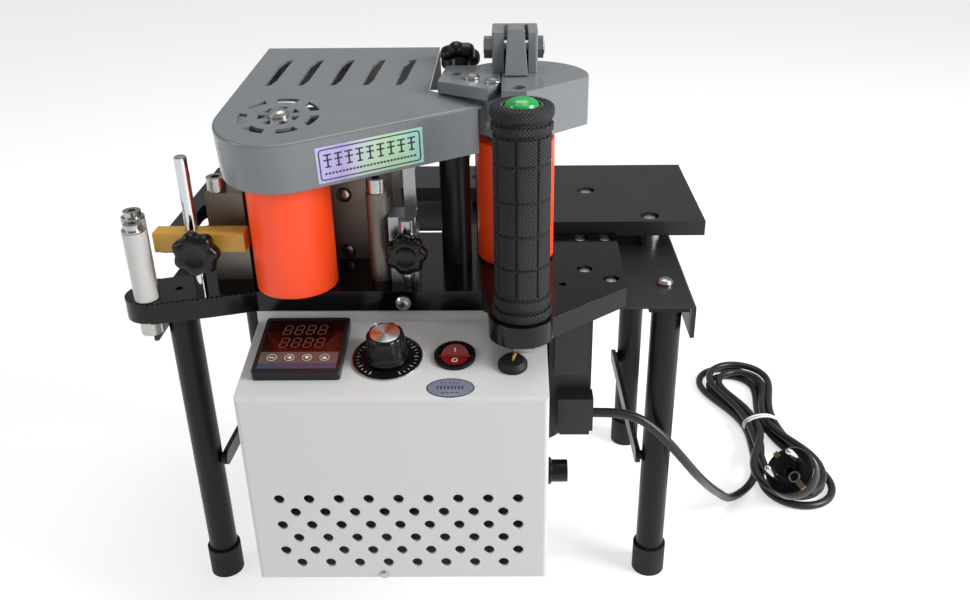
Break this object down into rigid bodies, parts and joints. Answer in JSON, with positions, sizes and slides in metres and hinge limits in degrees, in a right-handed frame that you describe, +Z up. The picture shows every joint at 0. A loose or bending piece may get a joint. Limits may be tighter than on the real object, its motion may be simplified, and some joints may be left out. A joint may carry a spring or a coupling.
{
  "type": "edge banding machine",
  "caption": "Bench-top edge banding machine: glue pot, feed rollers and grip on a cast plate, a sloping control box below, and a work table on a four-legged stand.",
  "frame": {"origin": "centre of the footprint at floor level (bottom centre of the bounding box without the mains cord)", "axes": "+Z up, +Y away from the operator, +X to the operator's right"},
  "size_m": [0.4695, 0.3404, 0.3568],
  "materials": {
    "black_powder": "black powder coat, fine texture",
    "black_enamel": "glossy black enamel on cast plate",
    "white_powder": "smooth white powder coat",
    "grey_paint": "semi-gloss grey paint",
    "orange_rubber": "satin orange polyurethane",
    "steel": "machined steel",
    "chrome": "bright plated",
    "cast_aluminium": "cast, matt",
    "black_plastic": "fine moulded texture",
    "instrument_black": "satin moulded case",
    "key_grey": "soft keys",
    "black_rubber": "matt rubber",
    "amber_nylon": "translucent nylon",
    "white_plastic": "smooth acetal",
    "red_plastic": "glossy translucent",
    "green_plastic": "glossy translucent",
    "cord_pvc": "satin PVC"
  },
  "bodies": {
    "machine": {"base_plate": "black_enamel", "box_back": "white_powder", "brace_left": "black_powder", "brace_right": "black_powder", "cable_grommet": "black_rubber", "clevis": "grey_paint", "column": "black_powder", "control_box": "white_powder", "cord_hank": "cord_pvc", "cord_lead": "cord_pvc", "cord_tie": "white_plastic", "cover_screw": "steel", "dial_plate": "black_plastic", "foot_caps": "black_rubber", "fuse_holder": "black_plastic", "gear_housing": "grey_paint", "glue_pot": "cast_aluminium", "guide_block": "steel", "guide_rod": "chrome", "handle_nut": "steel", "handle_tube": "steel", "head_pillar": "black_powder", "legs": "black_powder", "lug_plate": "grey_paint", "motor": "black_powder", "motor_terminal": "black_powder", "pan_screws": "steel", "pivot_bolt": "steel", "plug": "black_plastic", "pot_caps": "steel", "potentiometer": "steel", "rocker_frame": "black_plastic", "rubber_grip": "black_rubber", "shelf_frame": "black_powder", "sunk_screws": "steel", "table_plate": "black_powder", "table_screws": "steel", "table_spacers": "steel", "temp_controller": "instrument_black", "top_cover": "grey_paint", "tube_screws": "steel"},
    "main_roller": {"main_roller_sleeve": "orange_rubber", "main_roller_core": "steel"},
    "press_roller": {"press_roller_sleeve": "orange_rubber", "press_roller_core": "steel"},
    "glue_roller": {"glue_roller": "steel"},
    "guide_roller_front": {"guide_tube_front": "white_plastic"},
    "guide_roller_rear": {"guide_tube_rear": "white_plastic"},
    "tape_guide": {"amber_bar": "amber_nylon"},
    "guide_clamp_knob": {"left_knob": "black_plastic"},
    "middle_clamp_knob": {"middle_knob": "black_plastic"},
    "rear_clamp_knob": {"rear_knob": "black_plastic"},
    "speed_dial": {"speed_knob": "black_plastic"},
    "power_rocker": {"rocker_switch": "red_plastic"},
    "trigger_button": {"handle_button": "green_plastic"},
    "swing_tongue": {"tongue": "grey_paint"},
    "key_one": {"key_1": "key_grey"},
    "key_two": {"key_2": "key_grey"},
    "key_three": {"key_3": "key_grey"},
    "key_four": {"key_4": "key_grey"}
  },
  "joints": [
    {"name": "press_roller_spin", "type": "hinge", "parent": "machine", "child": "press_roller", "pos_m": [0.0505, -0.01495, 0.26], "axis": [0, 0, 1], "continuous": true},
    {"name": "main_roller_spin", "type": "hinge", "parent": "machine", "child": "main_roller", "pos_m": [-0.0765, -0.05645, 0.26], "axis": [0, 0, 1], "continuous": true},
    {"name": "glue_roller_spin", "type": "hinge", "parent": "machine", "child": "glue_roller", "pos_m": [-0.0845, -0.02145, 0.25], "axis": [0, 0, 1], "continuous": true},
    {"name": "front_guide_spin", "type": "hinge", "parent": "machine", "child": "guide_roller_front", "pos_m": [-0.1593, -0.07495, 0.24], "axis": [0, 0, 1], "continuous": true},
    {"name": "rear_guide_spin", "type": "hinge", "parent": "machine", "child": "guide_roller_rear", "pos_m": [-0.1655, -0.05795, 0.24], "axis": [0, 0, 1], "continuous": true},
    {"name": "tape_guide_slide", "type": "slide", "parent": "machine", "child": "tape_guide", "axis": [0, 0, 1], "range_m": [-0.013, 0.028]},
    {"name": "guide_clamp_turn", "type": "hinge", "parent": "tape_guide", "child": "guide_clamp_knob", "pos_m": [-0.1258, -0.07325, 0.249], "axis": [0, -1, 0], "range_deg": [0, 360]},
    {"name": "middle_clamp_turn", "type": "hinge", "parent": "machine", "child": "middle_clamp_knob", "pos_m": [-0.0115, -0.06195, 0.243], "axis": [0, -1, 0], "range_deg": [0, 360]},
    {"name": "rear_clamp_turn", "type": "hinge", "parent": "machine", "child": "rear_clamp_knob", "pos_m": [0.0175, 0.01465, 0.331], "axis": [0, 0.7507, 0.6606], "range_deg": [0, 360]},
    {"name": "speed_dial_turn", "type": "hinge", "parent": "machine", "child": "speed_dial", "pos_m": [-0.0216, -0.0973, 0.19359], "axis": [0, -0.1781, 0.984], "range_deg": [-150, 150]},
    {"name": "power_rocker_tilt", "type": "hinge", "parent": "machine", "child": "power_rocker", "pos_m": [0.0161, -0.0969, 0.19366], "axis": [-1, 0, 0], "range_deg": [0, 16]},
    {"name": "trigger_press", "type": "slide", "parent": "machine", "child": "trigger_button", "axis": [0, 0, -1], "range_m": [0, 0.003], "stiffness_N_per_m": 500, "springref_m": -0.001},
    {"name": "tongue_swing", "type": "hinge", "parent": "machine", "child": "swing_tongue", "pos_m": [0.0512, -0.00195, 0.3445], "axis": [1, 0, 0], "range_deg": [-30, 0]},
    {"name": "key_one_press", "type": "slide", "parent": "machine", "child": "key_one", "axis": [0, 0.1781, -0.984], "range_m": [0, 0.0008], "stiffness_N_per_m": 300, "springref_m": -0.0005},
    {"name": "key_two_press", "type": "slide", "parent": "machine", "child": "key_two", "axis": [0, 0.1781, -0.984], "range_m": [0, 0.0008], "stiffness_N_per_m": 300, "springref_m": -0.0005},
    {"name": "key_three_press", "type": "slide", "parent": "machine", "child": "key_three", "axis": [0, 0.1781, -0.984], "range_m": [0, 0.0008], "stiffness_N_per_m": 300, "springref_m": -0.0005},
    {"name": "key_four_press", "type": "slide", "parent": "machine", "child": "key_four", "axis": [0, 0.1781, -0.984], "range_m": [0, 0.0008], "stiffness_N_per_m": 300, "springref_m": -0.0005}
  ],
  "couplings": [
    {"joint": "main_roller_spin", "follows": "press_roller_spin", "ratio": 1},
    {"joint": "glue_roller_spin", "follows": "press_roller_spin", "ratio": -2.5778}
  ]
}
